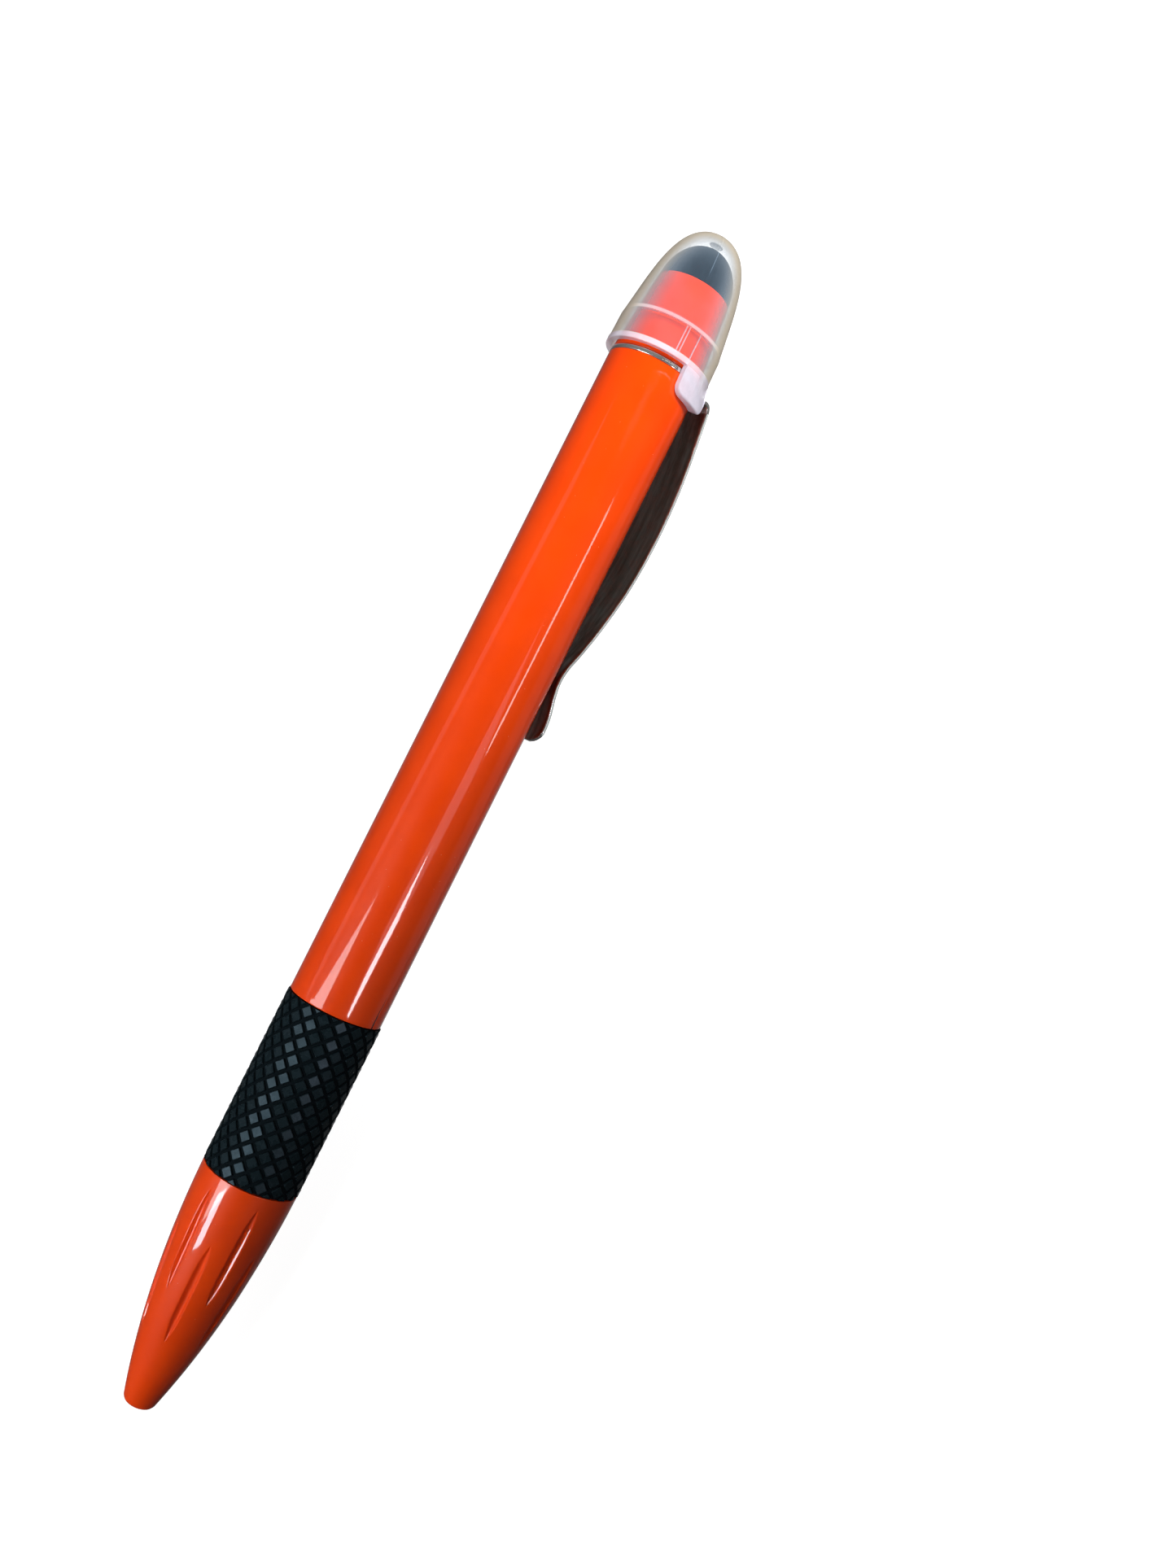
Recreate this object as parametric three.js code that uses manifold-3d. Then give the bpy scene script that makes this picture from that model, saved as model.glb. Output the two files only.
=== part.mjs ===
// A slim pen with two working ends, lying on its side. One end is a twist-action ballpoint. The other
// is a counterfeit detector marker: a domed fibre nib fed by a fibre reservoir, under a clear cap.
// Millimetres, +Z up. The pen's axis runs along +X, from the writing tip to the cap.
// Inside the pen group, x = 0 is the nose's end face and y = z = 0 is the pen's axis.
import * as THREE from 'three';
import { mergeVertices } from 'three/addons/utils/BufferGeometryUtils.js';
import Module from 'manifold-3d';

const wasm = await Module();
wasm.setup();

// ---- driving dimensions -----------------------------------------------------------------------

const SIDES = 40; // facets round an outer part
const INNER_SIDES = 24; // facets round an inner part
const THIN_SIDES = 16; // facets round a slim part
const GAP = 0.05; // left on each side of a joint line between two pieces
const PLAY = 0.1; // left between a piece and the stop behind it

// where the outer pieces meet, and their radii
const NOSE_END = 26.35;
const GRIP_END = 46.2;
const BARREL_END = 123.2;
const RING_END = 123.8;
const COLLAR_END = 133.4;
const NIB_APEX = 138.6;
const CAP_RIM = 124.1;
const CAP_APEX = 140.2;
const GRIP_R = 5.5;
const BARREL_R = 5.3;
const BARREL_BORE = 4.75;
const INSERT_R = 4.64; // pieces that sit in the barrel
const COLLAR_BASE_R = 5.2;
const COLLAR_TOP_R = 4.29;
const NIB_R = 4.2;
const CAP_RIM_R = 6.15;

// the twist action
const TRAVEL = 6; // how far the refill comes forward
const TWIST = Math.PI; // how far the front section turns to do it
const TIP_REST = 3; // the front of the writing ball, retracted
const PIN_REST = 84; // the middle of the cross pin, retracted
const PIN_R = 0.5;
const PIN_LENGTH = 8.6;

// bores and seats of the front section
const NOSE_HOLE = 1.15;
const SPRING_SEAT = 5.2;
const NOSE_BORE = 2;
const SOCKET_START = 15.4;
const SOCKET_R = 3.72;
const GRIP_SEAT_R = 4.3;
const JOURNAL_R = 3.4;
const JOURNAL_END = 62;
const DRIVE_R = 2.75;
const DRIVE_END = 89;

// the refill
const TIP_R = 1.05;
const REFILL_R = 1.5;
const REFILL_BORE = 0.95;
const REFILL_START = 18;
const REFILL_END = 79.5;
const INK_R = 0.88;
const BALL_R = 0.35;

// the marker
const CUP_START = 93.8;
const CUP_END = 118.2;
const CUP_BORE = 3.75;
const WICK_R = 0.9;
const WICK_HOLE = 1;
const NIB_SPIGOT_START = 129.5;

// the clip
const CLIP_TURN = THREE.MathUtils.degToRad(128); // its direction from the axis, from +Z towards -Y
const CLIP_SHEET = 0.45;
const CLIP_ROOT_WIDTH = 6;
const CLIP_TIP_WIDTH = 4.9;
const CLIP_ROOT_R = 6.05; // where the shoulder ends and the arm begins

// ---- finishes ---------------------------------------------------------------------------------

function finish(color, roughness, metalness, opacity = 1) {
  const transparent = opacity < 1;
  return new THREE.MeshStandardMaterial({ color, roughness, metalness, opacity, transparent });
}

const lacquer = finish(0xe8480c, 0.2, 0.1);
const rubber = finish(0x1b1e20, 0.75, 0);
const chrome = finish(0xc9c7c4, 0.12, 1);
const steel = finish(0x9a9da0, 0.3, 1);
const brass = finish(0xb8923f, 0.35, 1);
const darkPlastic = finish(0x24272b, 0.5, 0);
const whitePlastic = finish(0xe6e4de, 0.5, 0);
const clearPlastic = finish(0xd9d3d6, 0.3, 0, 0.4);
const felt = finish(0x23282e, 0.9, 0);
const fibre = finish(0xd6c7a4, 0.95, 0);
const ink = finish(0x14151a, 0.3, 0);
const grease = finish(0xcfc6a0, 0.4, 0, 0.7);

// ---- shape helpers ----------------------------------------------------------------------------

// A point at x along the pen, at a radius and an angle that runs from +Z towards -Y.
function polar(x, radius, angle) {
  return new THREE.Vector3(x, -radius * Math.sin(angle), radius * Math.cos(angle));
}

// Turns an outline of [x, radius] points round the pen's axis. An outline that starts on the axis
// also ends there, and any other one closes on itself.
function turned(outline, sides = INNER_SIDES) {
  const points = outline.map(([x, radius]) => new THREE.Vector2(radius, x));
  if (points[0].x > 0) {
    points.push(points[0].clone());
  }
  return new THREE.LatheGeometry(points, sides).rotateZ(-Math.PI / 2);
}

function tube(start, end, bore, radius, sides) {
  return turned([[start, bore], [start, radius], [end, radius], [end, bore]], sides);
}

function rod(start, end, radius, sides) {
  return turned([[start, 0], [start, radius], [end, radius], [end, 0]], sides);
}

// A closed skin over rings of points, with flat ends.
function loft(rings) {
  const around = rings[0].length;
  const last = (rings.length - 1) * around;
  const faces = [];
  for (let i = 0; i < last; i += around) {
    for (let j = 0; j < around; j += 1) {
      const a = i + j;
      const b = i + ((j + 1) % around);
      faces.push(a, b, a + around, b, b + around, a + around);
    }
  }
  for (let j = 1; j + 1 < around; j += 1) {
    faces.push(0, j + 1, j, last, last + j, last + j + 1);
  }
  return new THREE.BufferGeometry().setFromPoints(rings.flat()).setIndex(faces);
}

function solid(geometry) {
  const bare = geometry.clone();
  bare.deleteAttribute('normal');
  bare.deleteAttribute('uv');
  const merged = mergeVertices(bare, 1e-4);
  const vertProperties = merged.attributes.position.array;
  const triVerts = new Uint32Array(merged.index.array);
  return new wasm.Manifold(new wasm.Mesh({ numProp: 3, vertProperties, triVerts }));
}

function geometryOf(shape) {
  const mesh = shape.getMesh();
  const geometry = new THREE.BufferGeometry();
  geometry.setAttribute('position', new THREE.BufferAttribute(mesh.vertProperties, 3));
  return geometry.setIndex(new THREE.BufferAttribute(mesh.triVerts, 1));
}

function cut(geometry, cutters) {
  return geometryOf(cutters.reduce((left, cutter) => left.subtract(solid(cutter)), solid(geometry)));
}

function joined(geometry, extras) {
  return geometryOf(extras.reduce((whole, extra) => whole.add(solid(extra)), solid(geometry)));
}

const pen = new THREE.Group();

function add(name, geometry, material) {
  const mesh = new THREE.Mesh(geometry, material);
  mesh.name = name;
  pen.add(mesh);
}

// ---- front section: what turns with the grip --------------------------------------------------

// A spindle-shaped flute sunk in the nose's skin, along its slope.
function flute({ middle, skin, slope }, angle) {
  const length = 10.6;
  const width = 1.3;
  const depth = 0.42;
  const shape = new THREE.SphereGeometry(1, 8, 6).rotateZ(-Math.PI / 2);
  shape.scale(length / 2, width / 2, depth).rotateY(-slope);
  return shape.translate(middle, 0, skin).rotateX(angle);
}

function noseCone() {
  const skin = new THREE.QuadraticBezierCurve(
    new THREE.Vector2(0.35, 1.8),
    new THREE.Vector2(12.1, 5.2),
    new THREE.Vector2(NOSE_END - GAP, 5.38),
  );
  const body = turned([
    [0, NOSE_HOLE],
    [0, 1.44],
    ...skin.getPoints(10).map((point) => [point.x, point.y]),
    [NOSE_END - GAP, SOCKET_R],
    [SOCKET_START, SOCKET_R],
    [SOCKET_START, NOSE_BORE],
    [SPRING_SEAT, NOSE_BORE],
    [SPRING_SEAT, NOSE_HOLE],
  ], SIDES);
  const rows = [
    { middle: 14.1, skin: 4.56, slope: 0.135, first: 0 },
    { middle: 19.2, skin: 5.06, slope: 0.085, first: Math.PI / 6 },
  ];
  const flutes = [];
  for (const row of rows) {
    for (let i = 0; i < 6; i += 1) {
      flutes.push(flute(row, row.first + (i * Math.PI) / 3));
    }
  }
  return cut(body, flutes);
}

function gripSleeve() {
  const start = NOSE_END + GAP;
  const end = GRIP_END - GAP;
  const bore = GRIP_SEAT_R + 0.06;
  const edge = 0.2;
  return turned([
    [start, bore],
    [start, GRIP_R - edge],
    [start + edge, GRIP_R],
    [end - edge, GRIP_R],
    [end, GRIP_R - edge],
    [end, bore],
  ], SIDES);
}

// The core of the front section: a spigot in the nose, a seat for the grip and a long journal.
function sectionTube() {
  const start = SOCKET_START + 0.2;
  const shoulder = NOSE_END + 0.15;
  const sealGroove = 2.8;
  const clipGroove = 3;
  const counterbore = 2.4;
  return turned([
    [start, NOSE_BORE],
    [start, 3.6],
    [shoulder, 3.6],
    [shoulder, GRIP_SEAT_R],
    [GRIP_END - PLAY, GRIP_SEAT_R],
    [GRIP_END - PLAY, JOURNAL_R],
    [50.6, JOURNAL_R],
    [50.6, sealGroove],
    [51.4, sealGroove],
    [51.4, JOURNAL_R],
    [57, JOURNAL_R],
    [57, clipGroove],
    [57.8, clipGroove],
    [57.8, JOURNAL_R],
    [JOURNAL_END, JOURNAL_R],
    [JOURNAL_END, counterbore],
    [55, counterbore],
    [55, NOSE_BORE],
  ]);
}

// The O-ring in the journal's groove, which gives the twist its firm feel.
function frictionRing() {
  const ring = new THREE.TorusGeometry(3.17, 0.32, 8, INNER_SIDES);
  return ring.rotateY(Math.PI / 2).translate(51, 0, 0);
}

// The C-shaped clip that keeps the journal in the barrel bush.
function retainingClip() {
  const mouth = 0.4;
  const shape = new THREE.Shape();
  shape.absarc(0, 0, 4.3, mouth, 2 * Math.PI - mouth, false);
  shape.absarc(0, 0, 3.1, 2 * Math.PI - mouth, mouth, true);
  const sheet = { depth: 0.6, bevelEnabled: false, curveSegments: 18 };
  return new THREE.ExtrudeGeometry(shape, sheet).rotateY(Math.PI / 2).translate(57.1, 0, 0);
}

// The tube whose two straight slots turn the cross pin and let it slide.
function driveTube() {
  const flange = JOURNAL_END + PLAY;
  const bore = 2;
  const body = turned([
    [55.2, bore],
    [55.2, 2.3],
    [flange, 2.3],
    [flange, 3.3],
    [flange + 1, 3.3],
    [flange + 1, DRIVE_R],
    [DRIVE_END, DRIVE_R],
    [DRIVE_END, bore],
  ]);
  const length = TRAVEL + 2 * PIN_R + 0.3;
  const slot = new THREE.BoxGeometry(length, 2 * PIN_R + 0.3, 8);
  return cut(body, [slot.translate(PIN_REST - TRAVEL / 2, 0, 0)]);
}

add('nose_cone', noseCone(), lacquer);
add('grip_sleeve', gripSleeve(), rubber);
add('section_tube', sectionTube(), brass);
add('friction_ring', frictionRing(), rubber);
add('retaining_clip', retainingClip(), steel);
add('drive_tube', driveTube(), whitePlastic);

// ---- carriage: the refill and what pushes it --------------------------------------------------

function refillTip() {
  const lip = TIP_REST + 0.3;
  const seat = TIP_REST + 2 * BALL_R + 0.1;
  const plug = REFILL_START - GAP;
  const channel = 0.25;
  return turned([
    [lip, 0.42],
    [lip, 0.54],
    [7.2, TIP_R],
    [plug, TIP_R],
    [plug, INK_R],
    [22, INK_R],
    [22, channel],
    [seat, channel],
    [seat, 0.42],
  ], THIN_SIDES);
}

function writingBall() {
  const ball = new THREE.SphereGeometry(BALL_R, 12, 8).rotateZ(-Math.PI / 2);
  return ball.translate(TIP_REST + BALL_R, 0, 0);
}

// The coil between the nose's inner step and the front of the refill tube.
function returnSpring() {
  const wire = 0.17;
  const coilR = 1.45;
  const turns = 8;
  const steps = 10;
  const wireSides = 5;
  const start = SPRING_SEAT + GAP + wire;
  const length = REFILL_START - GAP - wire - start;
  const rings = [];
  for (let i = 0; i <= turns * steps; i += 1) {
    const angle = (i / steps) * 2 * Math.PI;
    const x = start + (length * i) / (turns * steps);
    const ring = [];
    for (let j = 0; j < wireSides; j += 1) {
      const round = (j / wireSides) * 2 * Math.PI;
      ring.push(polar(x + wire * Math.cos(round), coilR + wire * Math.sin(round), angle));
    }
    rings.push(ring);
  }
  return loft(rings);
}

// The plug behind the refill, with a socket in front and a hole for the cross pin.
function plunger() {
  const start = 76;
  const end = 88.6;
  const socket = REFILL_END + 0.2;
  const radius = 1.88;
  const body = turned([
    [socket, 0],
    [socket, REFILL_R + 0.08],
    [start, REFILL_R + 0.08],
    [start, radius],
    [end, radius],
    [end, 0],
  ], THIN_SIDES);
  const hole = new THREE.CylinderGeometry(PIN_R + GAP, PIN_R + GAP, 6, THIN_SIDES);
  return cut(body, [hole.rotateX(Math.PI / 2).translate(PIN_REST, 0, 0)]);
}

function crossPin() {
  const pin = new THREE.CylinderGeometry(PIN_R, PIN_R, PIN_LENGTH, THIN_SIDES);
  return pin.rotateX(Math.PI / 2).translate(PIN_REST, 0, 0);
}

add('refill_tip', refillTip(), brass);
add('writing_ball', writingBall(), steel);
add('refill_tube', tube(REFILL_START, REFILL_END, REFILL_BORE, REFILL_R, THIN_SIDES), whitePlastic);
add('ink_column', rod(22.1, 66, INK_R, THIN_SIDES), ink);
add('ink_follower', rod(66.1, 69.5, INK_R, THIN_SIDES), grease);
add('return_spring', returnSpring(), steel);
add('plunger', plunger(), darkPlastic);
add('cross_pin', crossPin(), steel);

// ---- barrel: what the mechanism turns against -------------------------------------------------

// The path of one end of the cross pin as the front section turns: a helical slot in the cam sleeve.
function helicalSlot(first) {
  const overrun = 0.2;
  const halfWidth = 0.76;
  const steps = 14;
  const rings = [];
  for (let i = 0; i <= steps; i += 1) {
    const turn = -overrun + ((TWIST + 2 * overrun) * i) / steps;
    const x = PIN_REST - (TRAVEL * turn) / TWIST;
    rings.push([
      polar(x - halfWidth, 2.5, first + turn),
      polar(x + halfWidth, 2.5, first + turn),
      polar(x + halfWidth, 5, first + turn),
      polar(x - halfWidth, 5, first + turn),
    ]);
  }
  return loft(rings);
}

function camSleeve() {
  const body = tube(74.5, 90, DRIVE_R + 0.15, INSERT_R, INNER_SIDES);
  return cut(body, [helicalSlot(0), helicalSlot(Math.PI)]);
}

// The plug between the twist action and the marker, hollowed where the drive tube ends.
function mechanismPlug() {
  const face = 90 + PLAY;
  return turned([
    [face + 1.2, 0],
    [face + 1.2, 2.9],
    [face, 2.9],
    [face, INSERT_R],
    [CUP_START - PLAY, INSERT_R],
    [CUP_START - PLAY, 0],
  ]);
}

function reservoirCup() {
  const floor = CUP_START + 1.2;
  return turned([
    [CUP_START, 0],
    [CUP_START, INSERT_R],
    [CUP_END, INSERT_R],
    [CUP_END, CUP_BORE],
    [floor, CUP_BORE],
    [floor, 0],
  ]);
}

function fibreReservoir() {
  const radius = 3.62;
  const end = 122;
  const holeFloor = 116.6;
  return turned([
    [95.2, 0],
    [95.2, radius],
    [end, radius],
    [end, WICK_HOLE],
    [holeFloor, WICK_HOLE],
    [holeFloor, 0],
  ]);
}

// The tapered orange end under the cap. Its spigot goes through the clip ring into the barrel.
function collar() {
  const shoulder = RING_END + GAP;
  const bore = 3.78;
  const nibBore = 3.3;
  const step = NIB_SPIGOT_START - PLAY;
  return turned([
    [CUP_END + PLAY, bore],
    [CUP_END + PLAY, INSERT_R],
    [shoulder, INSERT_R],
    [shoulder, COLLAR_BASE_R],
    [COLLAR_END - GAP, COLLAR_TOP_R],
    [COLLAR_END - GAP, nibBore],
    [step, nibBore],
    [step, bore],
  ], SIDES);
}

function domedNib() {
  const base = COLLAR_END + GAP;
  const height = NIB_APEX - base;
  const steps = 7;
  const outline = [
    [134.6, 0],
    [134.6, WICK_HOLE],
    [NIB_SPIGOT_START, WICK_HOLE],
    [NIB_SPIGOT_START, 3.2],
    [base, 3.2],
  ];
  for (let i = 0; i <= steps; i += 1) {
    const angle = (i / steps) * (Math.PI / 2);
    outline.push([base + height * Math.sin(angle), i < steps ? NIB_R * Math.cos(angle) : 0]);
  }
  return turned(outline);
}

// The chromed ring between barrel and collar, with the shoulder that carries the clip.
function clipRing() {
  const start = BARREL_END + GAP;
  const end = RING_END - GAP;
  const inside = BARREL_R - 0.2;
  const ring = tube(start, end, BARREL_BORE, BARREL_R, SIDES);
  const shoulder = new THREE.BoxGeometry(end - start, CLIP_ROOT_WIDTH, CLIP_ROOT_R - inside);
  shoulder.translate((start + end) / 2, 0, (CLIP_ROOT_R + inside) / 2).rotateX(CLIP_TURN);
  return joined(ring, [shoulder]);
}

add('barrel_tube', tube(GRIP_END + GAP, BARREL_END, BARREL_BORE, BARREL_R, SIDES), lacquer);
add('barrel_bush', tube(46.6, 56.9, JOURNAL_R + 0.14, INSERT_R, INNER_SIDES), brass);
add('cam_sleeve', camSleeve(), darkPlastic);
add('mechanism_plug', mechanismPlug(), darkPlastic);
add('reservoir_cup', reservoirCup(), whitePlastic);
add('fibre_reservoir', fibreReservoir(), fibre);
add('wick', rod(116.7, 134.4, WICK_R, THIN_SIDES), fibre);
add('nib_holder', tube(122.2, 129.2, WICK_HOLE, 3.68, INNER_SIDES), whitePlastic);
add('collar', collar(), lacquer);
add('domed_nib', domedNib(), felt);
add('clip_ring', clipRing(), chrome);

// ---- clip arm ---------------------------------------------------------------------------------

// The middle line of the sheet, as points of x and radius: out of the shoulder, over the bow, down to
// the lip that presses on the barrel, and up to the tip.
const clipLine = new THREE.SplineCurve([
  new THREE.Vector2(123.5, CLIP_ROOT_R + PLAY),
  new THREE.Vector2(123.42, 6.45),
  new THREE.Vector2(123.05, 6.74),
  new THREE.Vector2(122.2, 6.96),
  new THREE.Vector2(117.5, 7.84),
  new THREE.Vector2(112.5, 8.44),
  new THREE.Vector2(107, 8.63),
  new THREE.Vector2(101.5, 8.32),
  new THREE.Vector2(96.5, 7.5),
  new THREE.Vector2(92.8, 6.6),
  new THREE.Vector2(90.2, 5.82),
  new THREE.Vector2(88.5, 5.6),
  new THREE.Vector2(86.8, 5.83),
  new THREE.Vector2(84.6, 6.4),
  new THREE.Vector2(82.8, 6.6),
  new THREE.Vector2(81.3, 6.54),
]);

function clipArm() {
  const steps = 40;
  const tipLength = 0.03; // the rounded end, as a share of the arm
  const across = new THREE.Vector3(0, Math.cos(CLIP_TURN), Math.sin(CLIP_TURN));
  const rings = [];
  for (let i = 0; i <= steps; i += 1) {
    const along = i / steps;
    const middle = clipLine.getPointAt(along);
    const tangent = clipLine.getTangentAt(along);
    const roundness = Math.max(0, (along - 1 + tipLength) / tipLength);
    const width = THREE.MathUtils.lerp(CLIP_ROOT_WIDTH, CLIP_TIP_WIDTH, along);
    const half = (width / 2) * Math.sqrt(1 - 0.9 * roundness ** 2);
    const ring = [];
    for (const [side, face] of [[-1, -1], [1, -1], [1, 1], [-1, 1]]) {
      const x = middle.x - (face * tangent.y * CLIP_SHEET) / 2;
      const radius = middle.y + (face * tangent.x * CLIP_SHEET) / 2;
      ring.push(polar(x, radius, CLIP_TURN).addScaledVector(across, side * half));
    }
    rings.push(ring);
  }
  return loft(rings);
}

add('clip_arm', clipArm(), chrome);

// ---- cap --------------------------------------------------------------------------------------

// One of the two ears that reach down from the cap's rim beside the clip's shoulder. It starts near
// the clip, where it stands out most, and ends a sixth of a turn further round.
function ear(start, end) {
  const depth = 3.25;
  const steps = 10;
  const bore = BARREL_R + 0.15;
  const top = CAP_RIM + 0.4;
  const topR = CAP_RIM_R - 0.05;
  const rings = [];
  for (let i = 0; i <= steps; i += 1) {
    const angle = THREE.MathUtils.lerp(start, end, i / steps);
    const across = (2 * i) / steps - 1;
    const bottom = CAP_RIM + 0.1 - depth * (1 - Math.abs(across) ** 5) ** 0.2;
    const flare = 0.87 - 0.45 * Math.abs(angle - CLIP_TURN);
    rings.push([
      polar(bottom, bore, angle),
      polar(top, bore, angle),
      polar(top, topR, angle),
      polar(bottom, CAP_RIM_R + flare, angle),
    ]);
  }
  return loft(rings);
}

function cap() {
  const step = 128;
  const band = CAP_RIM + 0.6;
  const outside = new THREE.CubicBezierCurve(
    new THREE.Vector2(127.6, 6.01),
    new THREE.Vector2(133, 5.13),
    new THREE.Vector2(CAP_APEX, 5.05),
    new THREE.Vector2(CAP_APEX, 0),
  );
  const inside = new THREE.CubicBezierCurve(
    new THREE.Vector2(139.35, 0),
    new THREE.Vector2(139.35, 4.4),
    new THREE.Vector2(132.8, 4.4),
    new THREE.Vector2(step, 5.12),
  );
  const body = turned([
    ...inside.getPoints(8).map((point) => [point.x, point.y]),
    [step, 5.42],
    [CAP_RIM, 5.46],
    [CAP_RIM, CAP_RIM_R],
    [band, CAP_RIM_R],
    [band, CAP_RIM_R - 0.08],
    ...outside.getPoints(9).map((point) => [point.x, point.y]),
  ], SIDES);
  const near = THREE.MathUtils.degToRad(40);
  const far = THREE.MathUtils.degToRad(95);
  return joined(body, [
    ear(CLIP_TURN - far, CLIP_TURN - near),
    ear(CLIP_TURN + near, CLIP_TURN + far),
  ]);
}

add('cap', cap(), clearPlastic);

// ---- the part's own frame: the middle of the pen's footprint, at the level it lies on ----------

pen.updateMatrixWorld(true);
const box = new THREE.Box3().setFromObject(pen, true);
const centre = box.getCenter(new THREE.Vector3());
pen.position.set(-centre.x, -centre.y, -box.min.z);

const part = new THREE.Group();
part.name = 'detector_pen';
part.add(pen);

export default part;
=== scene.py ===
"""The looks of a two-ended pen: a twist-action ballpoint whose other end is a capped banknote marker.

Lengths along the pen are in millimetres from the nose's end face. Radii are in millimetres from the
pen's axis, and angles run round it from +Z towards -Y.
"""

import itertools
import math

import bmesh
import bpy
import numpy as np
from mathutils import Matrix, Vector


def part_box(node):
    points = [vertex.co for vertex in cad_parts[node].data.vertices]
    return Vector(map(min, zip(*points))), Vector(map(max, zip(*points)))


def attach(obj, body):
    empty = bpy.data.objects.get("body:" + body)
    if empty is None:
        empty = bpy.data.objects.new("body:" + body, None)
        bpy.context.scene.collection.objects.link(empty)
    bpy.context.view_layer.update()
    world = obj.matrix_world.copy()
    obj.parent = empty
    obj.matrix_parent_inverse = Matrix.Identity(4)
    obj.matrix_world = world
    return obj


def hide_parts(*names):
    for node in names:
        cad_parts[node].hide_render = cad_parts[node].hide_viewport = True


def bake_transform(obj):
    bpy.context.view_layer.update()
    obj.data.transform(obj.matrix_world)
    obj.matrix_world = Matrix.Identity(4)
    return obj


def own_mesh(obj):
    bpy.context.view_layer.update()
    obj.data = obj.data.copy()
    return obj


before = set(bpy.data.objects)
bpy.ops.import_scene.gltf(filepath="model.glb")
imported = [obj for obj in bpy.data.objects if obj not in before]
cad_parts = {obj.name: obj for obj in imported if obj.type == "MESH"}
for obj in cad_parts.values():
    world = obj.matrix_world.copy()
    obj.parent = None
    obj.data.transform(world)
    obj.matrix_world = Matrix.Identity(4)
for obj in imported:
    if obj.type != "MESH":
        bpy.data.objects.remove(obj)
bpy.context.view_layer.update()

MM = 0.001
NOSE_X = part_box("nose_cone")[0].x
AXIS_Y = sum(corner.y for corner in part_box("barrel_tube")) / 2
AXIS_Z = sum(corner.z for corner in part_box("barrel_tube")) / 2

# the gap between pieces, where the outer pieces meet, and their radii
GAP = 0.05
NOSE_END = 26.35
GRIP_END = 46.2
BARREL_END = 123.2
RING_END = 123.8
COLLAR_END = 133.4
NIB_APEX = 138.6
CAP_RIM = 124.1
CAP_APEX = 140.2
CAP_STEP = 128.0
GRIP_R = 5.5
GRIP_BORE = 4.36
BARREL_R = 5.3
BARREL_BORE = 4.75
INSERT_R = 4.64
COLLAR_BASE_R = 5.2
COLLAR_TOP_R = 4.29
NIB_R = 4.2
CAP_RIM_R = 6.15
CLIP_TURN = math.radians(128)

# the refill and what drives it
PIN_REST = 84.0
PIN_R = 0.5
PIN_LENGTH = 8.6
TRAVEL = 6.0
REFILL_START = 18.0
BALL_FRONT = 3.0
BALL_R = 0.35

FINE_SIDES = 160
SMALL_SIDES = 64


# ---- meshes -----------------------------------------------------------------------------------


def place(x, radius, angle):
    """Points in the row frame, in metres."""
    x, radius, angle = np.broadcast_arrays(x, radius, angle)
    return np.stack(
        [
            NOSE_X + x * MM,
            AXIS_Y - radius * np.sin(angle) * MM,
            AXIS_Z + radius * np.cos(angle) * MM,
        ],
        axis=-1,
    )


def quads(rows, around, looped):
    """Faces from each row of points to the next, right round each row."""
    i = np.arange(rows if looped else rows - 1)[:, None]
    j = np.arange(around)[None, :]
    k = (j + 1) % around
    below = i * around
    above = ((i + 1) % rows) * around
    return np.stack([below + j, below + k, above + k, above + j], axis=-1).reshape(-1, 4)


def shade(obj, sharp):
    """Smooth shading, with hard edges where the faces turn by more than so many degrees."""
    obj.data.shade_smooth()
    obj.data.set_sharp_from_angle(angle=math.radians(sharp))


def weld(mesh, reach=2e-7):
    """Merges doubled points and turns every face outward."""
    bm = bmesh.new()
    bm.from_mesh(mesh)
    bmesh.ops.remove_doubles(bm, verts=bm.verts, dist=reach)
    bmesh.ops.recalc_face_normals(bm, faces=bm.faces)
    bm.to_mesh(mesh)
    bm.free()


def build(name, points, faces, sharp=32):
    """A new piece from its points and faces."""
    mesh = bpy.data.meshes.new(name)
    faces = [list(map(int, face)) for face in faces]
    mesh.from_pydata(np.asarray(points).reshape(-1, 3).tolist(), [], faces)
    weld(mesh)
    obj = bpy.data.objects.new(name, mesh)
    bpy.context.scene.collection.objects.link(obj)
    shade(obj, sharp)
    return obj


def rounded(outline, looped=True):
    """Points of an outline. A corner written as [x, radius, fillet] is rounded off."""
    steps = 6
    points = []
    for i, corner in enumerate(outline):
        here = Vector(corner[:2])
        if len(corner) < 3 or (not looped and i in (0, len(outline) - 1)):
            points.append(tuple(here))
            continue
        back = Vector(outline[i - 1][:2]) - here
        on = Vector(outline[(i + 1) % len(outline)][:2]) - here
        reach = corner[2] / math.tan(back.angle(on) / 2)
        first = here + back.normalized() * min(reach, 0.48 * back.length)
        last = here + on.normalized() * min(reach, 0.48 * on.length)
        for k in range(steps + 1):
            t = k / steps
            points.append(tuple(first * (1 - t) ** 2 + here * 2 * t * (1 - t) + last * t * t))
    return points


def turned(name, outline, sides=SMALL_SIDES, sharp=32):
    """An outline turned round the axis. One that starts on the axis ends there, and any other closes."""
    looped = outline[0][1] > 0
    points = np.array(rounded(outline, looped))
    angles = np.linspace(0, 2 * math.pi, sides, endpoint=False)
    rings = place(points[:, :1], points[:, 1:], angles[None, :])
    return build(name, rings, quads(len(points), sides, looped), sharp)


def tube(start, end, bore, radius, edge=0.08):
    """A tube's outline, with its edges rounded off."""
    return [[start, bore, edge], [start, radius, edge], [end, radius, edge], [end, bore, edge]]


def rod(start, end, radius, edge=0.08):
    """A solid rod's outline, with its edges rounded off."""
    return [[start, 0], [start, radius, edge], [end, radius, edge], [end, 0]]


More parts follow.
